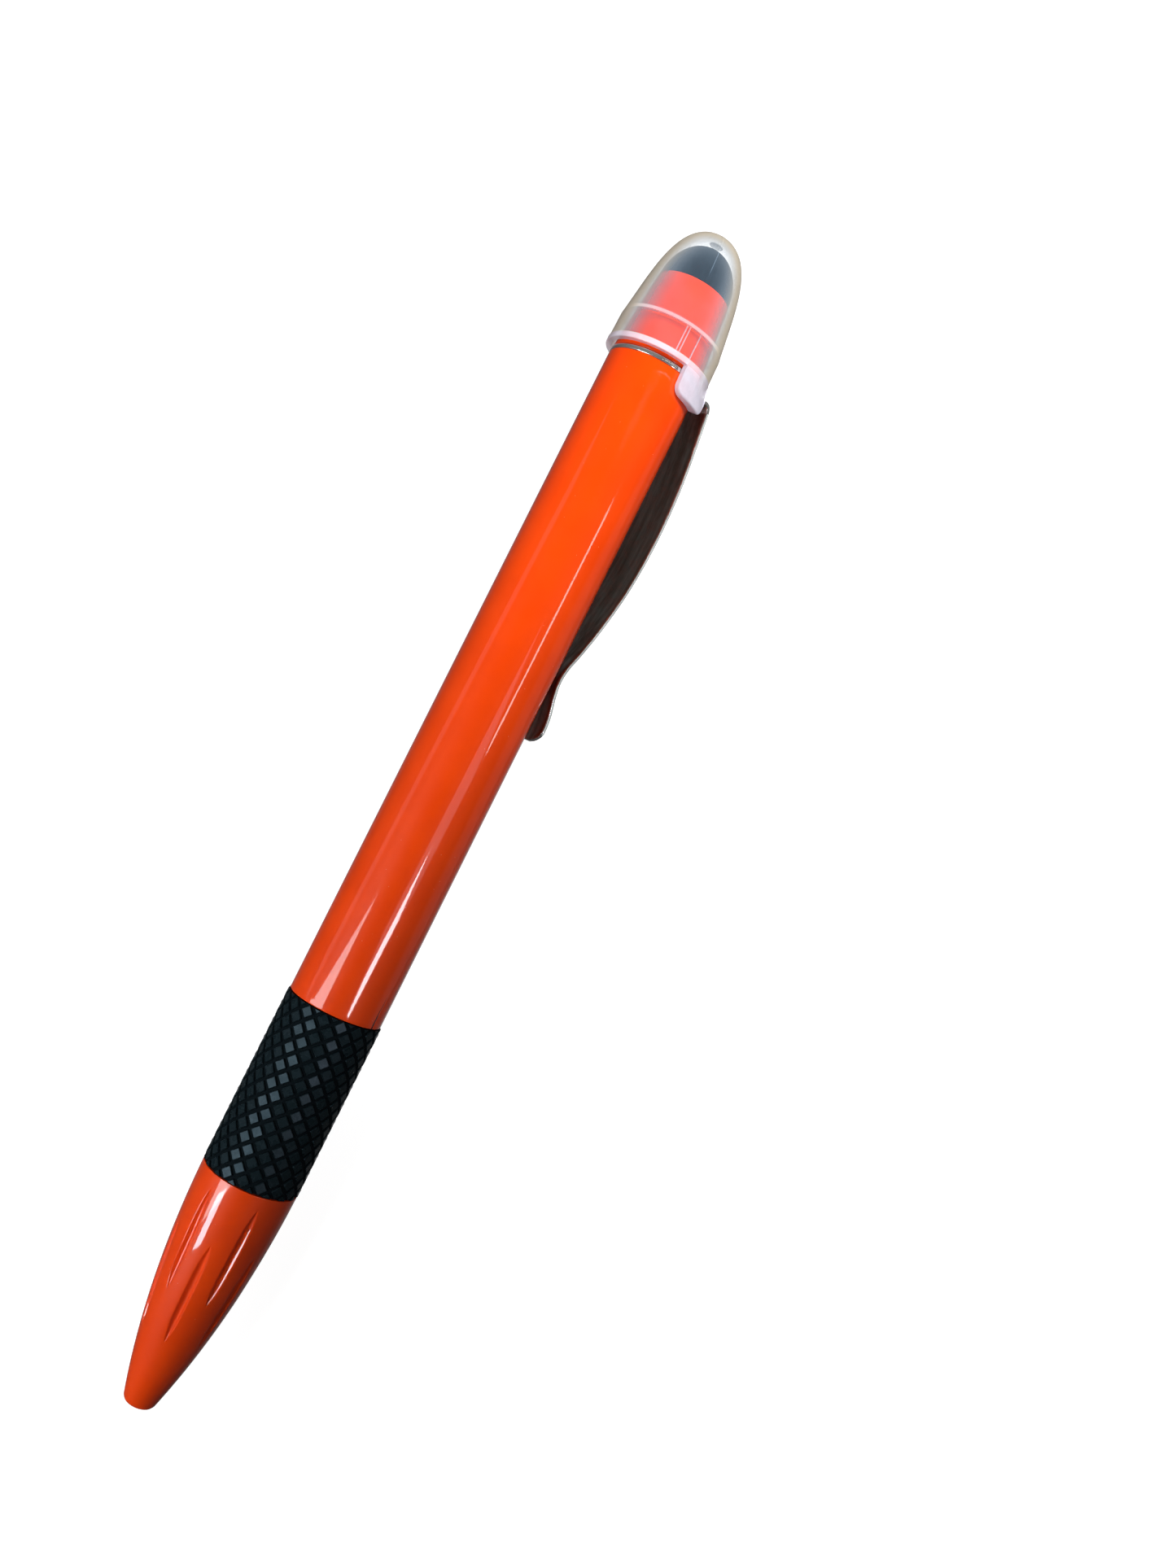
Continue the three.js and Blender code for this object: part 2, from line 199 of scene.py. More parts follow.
def swept(name, rings, sharp=32):
    """A closed skin over rings of points, with flat ends."""
    rows, around = rings.shape[:2]
    faces = [list(f) for f in quads(rows, around, False)]
    faces.append(list(range(around))[::-1])
    faces.append([(rows - 1) * around + j for j in range(around)])
    return build(name, rings, faces, sharp)


def bezier(points, count):
    """Points along a Bezier curve of any degree."""
    t = np.linspace(0, 1, count)[:, None]
    degree = len(points) - 1
    total = np.zeros((count, 2))
    for k, point in enumerate(points):
        weight = math.comb(degree, k) * t**k * (1 - t) ** (degree - k)
        total += weight * np.array(point)
    return total


def changed(obj, kind, extras):
    """obj after a boolean with each of the extras, which are then removed."""
    for extra in extras:
        modifier = obj.modifiers.new("change", "BOOLEAN")
        modifier.operation = kind
        modifier.solver = "EXACT"
        modifier.object = extra
    graph = bpy.context.evaluated_depsgraph_get()
    mesh = bpy.data.meshes.new_from_object(obj.evaluated_get(graph))
    obj.modifiers.clear()
    obj.data = mesh
    for extra in extras:
        bpy.data.objects.remove(extra)


def fit(obj, body, slot, material, *nodes):
    """Finishes a piece: its material, the body it rides on and the CAD nodes it stands for."""
    obj.data.materials.append(material)
    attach(obj, body)
    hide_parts(*nodes)


# ---- materials --------------------------------------------------------------------------------


class Look:
    """A material's node tree, with short ways to add to it."""

    def __init__(self, name, **inputs):
        self.material = bpy.data.materials.new(name)
        self.material.use_nodes = True
        self.tree = self.material.node_tree
        self.shader = self.tree.nodes["Principled BSDF"]
        self.output = self.tree.nodes["Material Output"]
        self.place = self.add("ShaderNodeTexCoord").outputs["Object"]
        for socket, value in inputs.items():
            self.shader.inputs[socket.replace("_", " ")].default_value = value

    def add(self, kind, **settings):
        node = self.tree.nodes.new(kind)
        for setting, value in settings.items():
            setattr(node, setting, value)
        return node

    def link(self, source, target):
        self.tree.links.new(source, target)

    def noise(self, scale, detail=3.0, stretch=(1, 1, 1), roughness=0.55):
        """Noise of so many cells in a metre, stretched along the axes."""
        mapping = self.add("ShaderNodeMapping")
        mapping.inputs["Scale"].default_value = stretch
        self.link(self.place, mapping.inputs["Vector"])
        node = self.add("ShaderNodeTexNoise")
        node.inputs["Scale"].default_value = scale
        node.inputs["Detail"].default_value = detail
        node.inputs["Roughness"].default_value = roughness
        self.link(mapping.outputs["Vector"], node.inputs["Vector"])
        return node.outputs["Fac"]

    def specks(self, scale, size):
        """1 in small scattered dots and 0 elsewhere."""
        node = self.add("ShaderNodeTexVoronoi")
        node.inputs["Scale"].default_value = scale
        self.link(self.place, node.inputs["Vector"])
        return self.ramp(node.outputs["Distance"], size * 0.7, size, 1, 0)

    def ramp(self, source, low, high, to_low=0.0, to_high=1.0):
        """A smooth step from one value to another while the source goes from low to high."""
        node = self.add("ShaderNodeMapRange", interpolation_type="SMOOTHSTEP")
        node.inputs["From Min"].default_value = low
        node.inputs["From Max"].default_value = high
        node.inputs["To Min"].default_value = to_low
        node.inputs["To Max"].default_value = to_high
        self.link(source, node.inputs["Value"])
        return node.outputs["Result"]

    def along(self):
        """How far along the pen a point is, in millimetres from the nose's end face."""
        split = self.add("ShaderNodeSeparateXYZ")
        self.link(self.place, split.inputs[0])
        return self.maths("MULTIPLY", self.maths("SUBTRACT", split.outputs["X"], NOSE_X), 1 / MM)

    def radius(self):
        """How far a point is from the pen's axis, in millimetres."""
        mapping = self.add("ShaderNodeMapping")
        mapping.inputs["Location"].default_value = (0, -AXIS_Y / MM, -AXIS_Z / MM)
        mapping.inputs["Scale"].default_value = (0, 1 / MM, 1 / MM)
        self.link(self.place, mapping.inputs["Vector"])
        length = self.add("ShaderNodeVectorMath", operation="LENGTH")
        self.link(mapping.outputs["Vector"], length.inputs[0])
        return length.outputs["Value"]

    def maths(self, operation, first, second):
        node = self.add("ShaderNodeMath", operation=operation)
        for socket, value in zip(node.inputs, (first, second)):
            if isinstance(value, (int, float)):
                socket.default_value = value
            else:
                self.link(value, socket)
        return node.outputs["Value"]

    def mix(self, factor, first, second):
        """A colour between two, either of which may be a socket."""
        node = self.add("ShaderNodeMix", data_type="RGBA")
        if isinstance(factor, (int, float)):
            node.inputs["Factor"].default_value = factor
        else:
            self.link(factor, node.inputs["Factor"])
        for name, value in (("A", first), ("B", second)):
            socket = next(s for s in node.inputs if s.name == name and s.type == "RGBA")
            if isinstance(value, tuple):
                socket.default_value = (*value, 1)
            else:
                self.link(value, socket)
        return next(s for s in node.outputs if s.type == "RGBA")

    def bump(self, height, depth, sockets=("Normal",)):
        """Relief of so many millimetres from a height of 0 to 1."""
        node = self.add("ShaderNodeBump")
        node.inputs["Distance"].default_value = depth * MM
        self.link(height, node.inputs["Height"])
        for socket in sockets:
            self.link(node.outputs["Normal"], self.shader.inputs[socket])

    def colour(self, source):
        self.link(source, self.shader.inputs["Base Color"])

    def rough(self, source):
        self.link(source, self.shader.inputs["Roughness"])


def lacquer_look(name):
    """Glossy orange lacquer with a faint orange peel, a few dust nibs and soft wear in the gloss."""
    look = Look(name, Specular_IOR_Level=0.12, Coat_Weight=1.0, Coat_Roughness=0.045, Coat_IOR=1.5)
    tone = look.ramp(look.noise(160, 4), 0.35, 0.65)
    base = look.mix(tone, (0.88, 0.058, 0.0008), (0.92, 0.064, 0.0012))
    look.colour(look.mix(look.specks(900, 0.035), base, (0.93, 0.32, 0.2)))
    peel = look.noise(2600, 2)
    nibs = look.specks(700, 0.05)
    look.bump(look.maths("ADD", peel, nibs), 0.0012, ("Coat Normal",))
    look.rough(look.ramp(look.noise(400, 3), 0.3, 0.7, 0.36, 0.48))
    return look


def seamed_lacquer():
    """The barrel's lacquer, with the short hairline that starts at its grip end."""
    look = lacquer_look("barrel_lacquer")
    seam_turn = math.radians(61)
    start = NOSE_X + (GRIP_END - 0.2) * MM
    end = NOSE_X + (GRIP_END + 4.2) * MM
    split = look.add("ShaderNodeSeparateXYZ")
    look.link(look.place, split.inputs[0])
    wander = look.maths("MULTIPLY", look.maths("SUBTRACT", look.noise(500, 2), 0.5), 0.00025)
    across = look.maths("SUBTRACT", split.outputs["Y"], AXIS_Y - BARREL_R * MM * math.sin(seam_turn))
    across = look.maths("ABSOLUTE", look.maths("ADD", across, wander), 0)
    along = look.ramp(split.outputs["X"], start, end, 1, 0)
    top = look.maths("GREATER_THAN", split.outputs["Z"], AXIS_Z)
    width = look.maths("MULTIPLY", along, 0.00006)
    line = look.maths("MULTIPLY", look.maths("LESS_THAN", across, width), top)
    old = look.shader.inputs["Base Color"].links[0].from_socket
    look.colour(look.mix(line, old, (0.05, 0.006, 0.003)))
    return look.material


def rubber_look():
    """Dark slate rubber with fine grain and a little lint: satin on the pads; dull grooves darkened as
    painted shade.
    """
    # the sheen's blue tint is painted light: the colour of window daylight, given to every reflection
    look = Look("grip_rubber", Specular_IOR_Level=0.19, Specular_Tint=(0.62, 0.84, 1.0, 1.0))
    grain = look.noise(5200, 3)
    raised = look.ramp(look.radius(), GRIP_R - 0.23, GRIP_R - 0.1)
    pads = look.mix(grain, (0.006, 0.0120, 0.0155), (0.010, 0.0190, 0.0235))
    # the groove floors are coloured far darker than the pads: painted shade in the recesses
    base = look.mix(raised, (0.0016, 0.0034, 0.0044), pads)
    look.colour(look.mix(look.specks(520, 0.04), base, (0.2, 0.2, 0.19)))
    satin = look.ramp(look.noise(900, 3), 0.3, 0.7, 0.23, 0.34)
    look.rough(look.maths("MAXIMUM", satin, look.ramp(raised, 0, 1, 0.95, 0)))
    look.bump(grain, 0.006)
    return look.material


def seal_look():
    """The black rubber of the friction ring, with a fine grain."""
    look = Look("seal_rubber", Specular_IOR_Level=0.35)
    grain = look.noise(4200, 3)
    look.colour(look.mix(grain, (0.010, 0.010, 0.011), (0.022, 0.022, 0.023)))
    look.rough(look.ramp(grain, 0.3, 0.7, 0.5, 0.65))
    look.bump(grain, 0.003)
    return look.material


def metal_look(name, dark, light, low, high, stretch=(1, 8, 8), metallic=1.0):
    """Metal with drawing or turning marks that run along the stretch's short side."""
    look = Look(name, Metallic=metallic)
    marks = look.noise(1500, 4, stretch)
    look.colour(look.mix(look.ramp(look.noise(260, 3), 0.35, 0.65), dark, light))
    look.rough(look.ramp(marks, 0.3, 0.7, low, high))
    look.bump(marks, 0.0006)
    return look.material


def clip_inside_shade_look():
    """The clip's underside: dark, smoky metal with long soft streaks, its darkness painted shade."""
    look = Look("clip_inside", Metallic=1.0)
    streaks = look.noise(300, 4, (0.35, 3.5, 3.5))
    look.colour(look.mix(look.ramp(streaks, 0.3, 0.7), (0.48, 0.45, 0.37), (0.84, 0.84, 0.76)))
    look.rough(look.ramp(look.noise(900, 3), 0.3, 0.7, 0.32, 0.5))
    look.bump(streaks, 0.004)
    return look.material


def plastic_look(name, dark, light, low, high):
    """Moulded plastic: a slightly clouded colour and a fine satin grain."""
    look = Look(name, Specular_IOR_Level=0.45)
    look.colour(look.mix(look.ramp(look.noise(420, 3), 0.3, 0.7), dark, light))
    grain = look.noise(3600, 2)
    look.rough(look.ramp(grain, 0.3, 0.7, low, high))
    look.bump(grain, 0.0015)
    return look.material


def fibre_look(name, dark, light, depth):
    """Bundled fibres that run along the pen."""
    look = Look(name, Roughness=0.9, Specular_IOR_Level=0.25)
    strands = look.noise(3800, 5, (0.12, 1, 1), 0.65)
    look.colour(look.mix(look.ramp(strands, 0.3, 0.7), dark, light))
    look.bump(strands, depth)
    return look.material


def wet_look(name, dark, light, roughness):
    """Ink or grease: glossy, with slow swirls."""
    look = Look(name, Coat_Weight=0.6, Coat_Roughness=0.1)
    swirl = look.noise(350, 4, (0.4, 1, 1))
    look.colour(look.mix(swirl, dark, light))
    look.rough(look.ramp(swirl, 0.3, 0.7, roughness, roughness + 0.1))
    look.bump(swirl, 0.004)
    return look.material


def parting_line(look, wall):
    """The fine line that the mould's two halves leave on the domed part of the cap's outer wall."""
    turn = math.radians(13)
    split = look.add("ShaderNodeSeparateXYZ")
    look.link(look.place, split.inputs[0])
    sideways = look.maths("MULTIPLY", look.maths("SUBTRACT", split.outputs["Y"], AXIS_Y), math.cos(turn))
    upward = look.maths("MULTIPLY", look.maths("SUBTRACT", split.outputs["Z"], AXIS_Z), math.sin(turn))
    away = look.maths("ABSOLUTE", look.maths("ADD", sideways, upward), 0)
    line = look.ramp(away, 0.02 * MM, 0.06 * MM, 0.2, 0)
    above = look.maths("GREATER_THAN", split.outputs["Z"], AXIS_Z)
    domed = look.ramp(look.along(), 133.5, 135)
    return look.maths("MULTIPLY", look.maths("MULTIPLY", line, above), look.maths("MULTIPLY", domed, wall))


def step_band(look, wall):
    """The cloudy ring on the cap's outer wall where the inside steps from the skirt to the dome."""
    away = look.maths("ABSOLUTE", look.maths("SUBTRACT", look.along(), CAP_STEP), 0)
    return look.maths("MULTIPLY", look.ramp(away, 0.1, 0.32, 0.3, 0), wall)


def cloudiness(look, veil, grazing, marks):
    """How much of what is behind the cap's plastic it hides: less over the dome than over the skirt."""
    cloud = look.ramp(look.noise(300, 4), 0.3, 0.7, 0.85, 1.15)
    cloud = look.maths("MULTIPLY", cloud, look.ramp(look.along(), 130, 137, 1.1, 0.7))
    amount = look.maths("ADD", look.maths("MULTIPLY", veil, cloud), look.maths("MULTIPLY", grazing, 0.8))
    return look.maths("MINIMUM", look.maths("ADD", amount, marks), 0.96)


def layered(look, amount, outside):
    """Lays the milky shader over a transparent one, and a faint gloss over the outer wall."""
    clear = look.add("ShaderNodeBsdfTransparent")
    milky = look.add("ShaderNodeMixShader")
    look.link(amount, milky.inputs["Fac"])
    look.link(clear.outputs[0], milky.inputs[1])
    look.link(look.shader.outputs[0], milky.inputs[2])
    gloss = look.add("ShaderNodeBsdfGlossy")
    gloss.inputs["Roughness"].default_value = 0.12
    shine = look.add("ShaderNodeMixShader")
    look.link(look.maths("MULTIPLY", outside, 0.02), shine.inputs["Fac"])
    look.link(milky.outputs[0], shine.inputs[1])
    look.link(gloss.outputs[0], shine.inputs[2])
    look.link(shine.outputs[0], look.output.inputs["Surface"])


def cap_look():
    """Milky translucent plastic. It veils what is behind it, most of all where it is seen edge-on.

    The mesh's own "veil" says how cloudy each face is: the thick rim, step, ribs and ears most.
    """
    look = Look("clear_plastic", Specular_IOR_Level=0.4)
    facing = look.add("ShaderNodeLayerWeight")
    facing.inputs["Blend"].default_value = 0.5
    veil = look.add("ShaderNodeAttribute", attribute_name="veil").outputs["Fac"]
    outside = look.ramp(veil, 0.04, 0.08)
    wall = look.maths("MULTIPLY", outside, look.ramp(veil, 0.2, 0.35, 1, 0))
    grazing = look.maths("MULTIPLY", look.ramp(facing.outputs["Facing"], 0.14, 0.7), wall)
    step = step_band(look, wall)
    thickness = look.ramp(look.maths("ADD", veil, step), 0.15, 0.4)
    milk = look.mix(thickness, (0.34, 0.50, 0.70), (0.84, 0.82, 0.97))
    look.colour(look.mix(grazing, milk, (0.56, 0.50, 0.41)))
    look.rough(look.ramp(look.noise(700, 3), 0.3, 0.7, 0.28, 0.4))
    look.bump(look.noise(1500, 3), 0.004)
    marks = look.maths("ADD", step, parting_line(look, wall))
    layered(look, cloudiness(look, veil, grazing, marks), outside)
    return look.material


LACQUER = lacquer_look("lacquer").material
BARREL_LACQUER = seamed_lacquer()
RUBBER = rubber_look()
SEAL = seal_look()
BRASS = metal_look("brass", (0.62, 0.40, 0.13), (0.74, 0.50, 0.19), 0.18, 0.34)
STEEL = metal_look("steel", (0.45, 0.46, 0.47), (0.60, 0.61, 0.62), 0.14, 0.3)
# chrome left partly matt: real reflections plus a painted reflection in the matt grey
CHROME = metal_look("chrome", (0.70, 0.69, 0.68), (0.82, 0.81, 0.80), 0.05, 0.13, metallic=0.85)
# the cut edge is mostly matt grey, so the lamps light it as a painted highlight for chrome glints
PAINTED_GLINT_EDGE = metal_look("painted_glint_edge", (0.52, 0.58, 0.58), (0.66, 0.72, 0.72), 0.1, 0.2, metallic=0.2)
# the underside material is darkened: painted shade standing in for the shaded barrel it mirrors
CLIP_INSIDE_SHADE = clip_inside_shade_look()
DARK_PLASTIC = plastic_look("dark_plastic", (0.014, 0.016, 0.019), (0.024, 0.026, 0.030), 0.38, 0.55)
WHITE_PLASTIC = plastic_look("white_plastic", (0.70, 0.69, 0.65), (0.80, 0.79, 0.75), 0.35, 0.5)
FELT = fibre_look("nib_felt", (0.004, 0.006, 0.009), (0.009, 0.014, 0.020), 0.02)
FIBRE = fibre_look("fibre", (0.50, 0.41, 0.24), (0.72, 0.62, 0.42), 0.05)
INK = wet_look("ink", (0.004, 0.004, 0.007), (0.012, 0.012, 0.020), 0.12)
GREASE = wet_look("grease", (0.50, 0.44, 0.24), (0.62, 0.57, 0.36), 0.25)
CLEAR = cap_look()


# ---- front section ----------------------------------------------------------------------------


def flute_depth(x, angle, radius):
    """How deep the two rows of spindle-shaped flutes are sunk in the nose's skin at each point."""
    total = np.zeros(np.broadcast(x, angle).shape)
    for middle, first in ((14.1, 0.0), (19.2, math.pi / 6)):
        along = np.clip((x - middle) / 5.6, -1, 1)
        half_width = 0.44 * (1 - along**4) + 1e-3
        turn = (angle - first + math.pi / 6) % (math.pi / 3) - math.pi / 6
        across = 1 - (turn * radius / half_width) ** 2
        soft = (across + np.sqrt(across**2 + 0.02)) / 2 - 0.005
        total += 0.37 * np.sqrt(1 - along**2) * np.where(across > -2, soft, 0)
    return total


def nose_cone():
    """The tapered nose: the fluted skin, the lip round the point's hole and the stepped bore."""
    sides = 432
    angles = np.linspace(0, 2 * math.pi, sides, endpoint=False)[None, :]
    skin = bezier([(0.35, 1.8), (12.1, 5.2), (NOSE_END - GAP, 5.38)], 600)
    x = np.linspace(0.35, NOSE_END - GAP - 0.12, 190)
    radius = np.interp(x, skin[:, 0], skin[:, 1])
    skin_x = x[:, None]
    skin_r = radius[:, None] - flute_depth(skin_x, angles, radius[:, None])
    lip = rounded([[0.0, 1.15, 0.06], [0.0, 1.55, 0.3], [0.35, 1.8]], False)
    back = [
        [NOSE_END - GAP, 5.38, 0.12],
        [NOSE_END - GAP, 3.72],
        [15.4, 3.72],
        [15.4, 2.0],
        [5.2, 2.0],
        [5.2, 1.15],
    ]
    rear = rounded([[x[-1], radius[-1]], *back, [0.0, 1.15]], False)[1:-1]
    flat = np.ones_like(angles)
    rings = [place(px, pr * flat, angles) for px, pr in lip[:-1]]
    rings += [place(skin_x, skin_r, angles)]
    rings += [place(px, pr * flat, angles) for px, pr in rear]
    rings = np.concatenate([ring.reshape(-1, sides, 3) for ring in rings])
    obj = build("nose", rings, quads(len(rings), sides, True), 50)
    fit(obj, "front_section", "lacquer", LACQUER, "nose_cone")


def grip_cells():
    """The sleeve's skin: rings of diamond cells, each a square pad with a groove round it."""
    cells_round = 17
    pitch = 2 * math.pi * GRIP_R / cells_round
    floor = GRIP_R - 0.28
    flat = GRIP_R - 0.08
    lines = np.array([-1, -0.76, -0.70, -0.64, -0.22, 0.22, 0.64, 0.70, 0.76, 1])
    raised = np.array([0, 0, 0.82, 1, 1, 1, 1, 0.82, 0, 0])
    first, second = np.meshgrid(lines, lines, indexing="ij")
    height = np.minimum.outer(raised, raised)
    height[np.isclose(np.multiply.outer(raised, raised), 0.82**2)] = 0.35
    size = len(lines)
    corner = (np.arange(size - 1)[:, None] * size + np.arange(size - 1)[None, :]).ravel()
    cell_faces = np.stack([corner, corner + 1, corner + size + 1, corner + size], axis=-1)
    points, faces = [], []
    start = NOSE_END - 1.2
    for ring in range(int((GRIP_END + 1.2 - start) / (pitch / 2)) + 1):
        for cell in range(cells_round):
            x = start + ring * pitch / 2 + (first + second) * pitch / 4
            arc = (cell + 0.5 * (ring % 2)) * pitch + (first - second) * pitch / 4
            faces.append(cell_faces + len(points) * size * size)
            top = flat / np.cos((first - second) * pitch / 4 / GRIP_R)
            points.append(place(x, floor + (top - floor) * height, arc / GRIP_R).reshape(-1, 3))
    return np.concatenate(points), np.concatenate(faces)


def cut_at(bm, x, keep_above):
    """Cuts the skin at x and drops one side."""
    geometry = bm.verts[:] + bm.edges[:] + bm.faces[:]
    bmesh.ops.bisect_plane(
        bm,
        geom=geometry,
        dist=1e-9,
        plane_co=(NOSE_X + x * MM, 0, 0),
        plane_no=(1, 0, 0),
        clear_inner=keep_above,
        clear_outer=not keep_above,
    )


def end_wall(bm, x, inset):
    """Carries the skin's cut edge at one end down to the bore, whose edge is set in by so many mm."""
    edges = [
        e for e in bm.edges
        if e.is_boundary and all(abs(v.co.x - NOSE_X - x * MM) < 1e-6 for v in e.verts)
    ]
    for edge_x, radius in ((x, GRIP_BORE + 0.35), (x + inset, GRIP_BORE)):
        made = bmesh.ops.extrude_edge_only(bm, edges=edges)["geom"]
        edges = [e for e in made if isinstance(e, bmesh.types.BMEdge)]
        for vert in {v for e in edges for v in e.verts}:
            turn = math.atan2(AXIS_Y - vert.co.y, vert.co.z - AXIS_Z)
            vert.co = place(edge_x, radius, turn)


def grip_sleeve():
    """The rubber sleeve: the skin of diamond pads, cut to length, with end walls and a bore."""
    start = NOSE_END + GAP
    end = GRIP_END - GAP
    points, faces = grip_cells()
    mesh = bpy.data.meshes.new("grip")
    mesh.from_pydata(points.tolist(), [], faces.tolist())
    bm = bmesh.new()
    bm.from_mesh(mesh)
    bmesh.ops.remove_doubles(bm, verts=bm.verts, dist=2e-6)
    cut_at(bm, start, True)
    cut_at(bm, end, False)
    end_wall(bm, start, 0.02)
    end_wall(bm, end, -0.02)
    loops = [e for e in bm.edges if e.is_boundary]
    bmesh.ops.bridge_loops(bm, edges=loops)
    bmesh.ops.recalc_face_normals(bm, faces=bm.faces)
    bm.to_mesh(mesh)
    bm.free()
    obj = bpy.data.objects.new("grip", mesh)
    bpy.context.scene.collection.objects.link(obj)
    shade(obj, 28)
    fit(obj, "front_section", "grip_rubber", RUBBER, "grip_sleeve")


nose_cone()
grip_sleeve()


# ---- barrel, collar and nib -------------------------------------------------------------------


def barrel():
    """The long tube, with rows of faces along it so that its shading stays smooth."""
    start = GRIP_END + GAP
    outline = [
        [start, BARREL_BORE, 0.05],
        [start, BARREL_R, 0.16],
        [BARREL_END, BARREL_R, 0.05],
        [BARREL_END, BARREL_BORE, 0.05],
    ]
    skin = [[start + 0.7 + 0.7 * k, BARREL_R] for k in range(108)]
    obj = turned("barrel", outline[:2] + skin + outline[2:], FINE_SIDES)
    fit(obj, "barrel", "lacquer", BARREL_LACQUER, "barrel_tube")


def collar():
    """The tapered collar that holds the nib, and the sleeve that seats it in the barrel."""
    shoulder = RING_END + GAP
    end = COLLAR_END - GAP
    outline = [
        [118.3, 3.78, 0.05],
        [118.3, INSERT_R, 0.12],
        [shoulder, INSERT_R],
        [shoulder, COLLAR_BASE_R, 0.1],
        [end, COLLAR_TOP_R, 0.08],
        [end, 3.3],
        [129.4, 3.3],
        [129.4, 3.78],
    ]
    fit(turned("collar", outline, FINE_SIDES), "barrel", "lacquer", LACQUER, "collar")


def nib():
    """The domed felt nib, hollow where the wick goes in."""
    base = COLLAR_END + GAP
    turns = np.linspace(0, math.pi / 2, 28)
    dome = [[base + (NIB_APEX - base) * math.sin(a), NIB_R * math.cos(a)] for a in turns[:-1]]
    outline = [[134.6, 0], [134.6, 1], [129.5, 1], [129.5, 3.2], [base, 3.2], *dome, [NIB_APEX, 0]]
    fit(turned("nib", outline, 96), "barrel", "nib_felt", FELT, "domed_nib")


barrel()
collar()
nib()


# ---- clip -------------------------------------------------------------------------------------

# the sheet's middle, from the ring out to the tip, as x and radius, and half its width
CLIP_LINE = [
    (123.5, 4.7),
    (123.5, 5.6),
    (123.5, 6.15),
    (123.42, 6.45),
    (123.05, 6.74),
    (122.2, 6.96),
    (117.5, 7.84),
    (112.5, 8.44),
    (107, 8.63),
    (101.5, 8.32),
    (96.5, 7.5),
    (92.8, 6.6),
    (90.2, 5.82),
    (88.5, 5.6),
    (86.8, 5.83),
    (84.6, 6.4),
    (82.8, 6.6),
    (81.3, 6.54),
]
CLIP_ROOT_HALF = 3.16
CLIP_TIP_HALF = 2.56


def spline(points, spacing):
    """Evenly spaced points along a Catmull-Rom curve, as x and radius."""
    knots = np.array([points[0], *points, points[-1]], float)
    t = np.linspace(0, 1, 24, endpoint=False)[:, None]
    runs = []
    for a, b, c, d in zip(knots, knots[1:], knots[2:], knots[3:]):
        bend = 2 * a - 5 * b + 4 * c - d
        twist = 3 * b - a - 3 * c + d
        runs.append(0.5 * (2 * b + (c - a) * t + bend * t**2 + twist * t**3))
    dense = np.concatenate([*runs, knots[-1:]])
    lengths = np.concatenate([[0], np.cumsum(np.linalg.norm(np.diff(dense, axis=0), axis=1))])
    even = np.linspace(0, lengths[-1], int(lengths[-1] / spacing))
    return np.stack([np.interp(even, lengths, dense[:, k]) for k in (0, 1)], axis=-1)


def clip_section():
    """The sheet's cross-section, from the underside round: across as a share of half the width, and
    height in millimetres from the sheet's middle."""
    half = 0.225
    edge = 0.13
    flats = np.linspace(-0.94, 0.94, 11)
    under = [(side, -half) for side in flats]
    over = [(side, half) for side in flats[::-1]]
    low = [(0.975, -half + edge * 0.3), (1, -half + edge)]
    high = [(1, half - edge), (0.975, half - edge * 0.3)]
    round_right = low + high
    round_left = [(-side, -height) for side, height in round_right]
    return np.array(under + round_right + over + round_left), len(under)


def clip():
    """The chromed ring and the sprung arm, bent from one piece of sheet."""
    line = spline(CLIP_LINE, 0.22)
    tangents = np.gradient(line, axis=0)
    tangents /= np.linalg.norm(tangents, axis=1)[:, None]
    section, under = clip_section()
    along = np.linspace(0, 1, len(line))
    roundness = np.clip((along - 0.965) / 0.035, 0, 1)
    taper = CLIP_ROOT_HALF + (CLIP_TIP_HALF - CLIP_ROOT_HALF) * along
    half_width = taper * np.sqrt(1 - 0.92 * roundness**2)
    camber = 0.35 * np.clip((122.5 - line[:, 0]) / 4, 0, 1) * np.clip((line[:, 0] - 84) / 6, 0, 1)
    across = np.array([0, math.cos(CLIP_TURN), math.sin(CLIP_TURN)])
    rings = []
    for middle, tangent, half, bow in zip(line, tangents, half_width, camber):
        # the arm runs back along the pen, so that a height above the sheet's middle is outward
        height = section[:, 1] + bow * (0.6 - section[:, 0] ** 2)
        x = middle[0] + height * tangent[1]
        radius = middle[1] - height * tangent[0]
        rings.append(place(x, radius, CLIP_TURN) + section[:, :1] * half * MM * across)
    arm = swept("clip", np.array(rings), 40)
    arm.data.materials.append(CHROME)
    arm.data.materials.append(CLIP_INSIDE_SHADE)
    arm.data.materials.append(PAINTED_GLINT_EDGE)
    for face in arm.data.polygons:
        face.material_index = clip_finish(face)
    band = tube(BARREL_END + GAP, RING_END - GAP, BARREL_BORE, BARREL_R + 0.02, 0.1)
    ring = turned("clip_ring_piece", band, FINE_SIDES)
    ring.data.materials.append(CHROME)
    changed(arm, "UNION", [ring])
    shade(arm, 40)
    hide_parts("clip_ring", "clip_arm")
    place(123.5, 5.5, CLIP_TURN)
    place(121.5, 6.9, CLIP_TURN)
    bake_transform(arm)


def clip_finish(face):
    """Which of the arm's materials a face has: chrome, the painted-shade underside or the painted-highlight
    cut edge.
    """
    if face.center.x > NOSE_X + 122.6 * MM:
        return 0
    outward = Vector((0, -math.sin(CLIP_TURN), math.cos(CLIP_TURN)))
    across = Vector((0, math.cos(CLIP_TURN), math.sin(CLIP_TURN)))
    if abs(face.normal.dot(across)) > 0.9:
        return 2
    return int(face.normal.dot(outward) < -0.6)


clip()


# ---- cap --------------------------------------------------------------------------------------


EAR_VEIL = 0.54
RIM_VEIL = 0.55
STEP_VEIL = 0.5
RIB_VEIL = 0.4
INSIDE_VEIL = 0.02
WALL_VEIL = 0.095


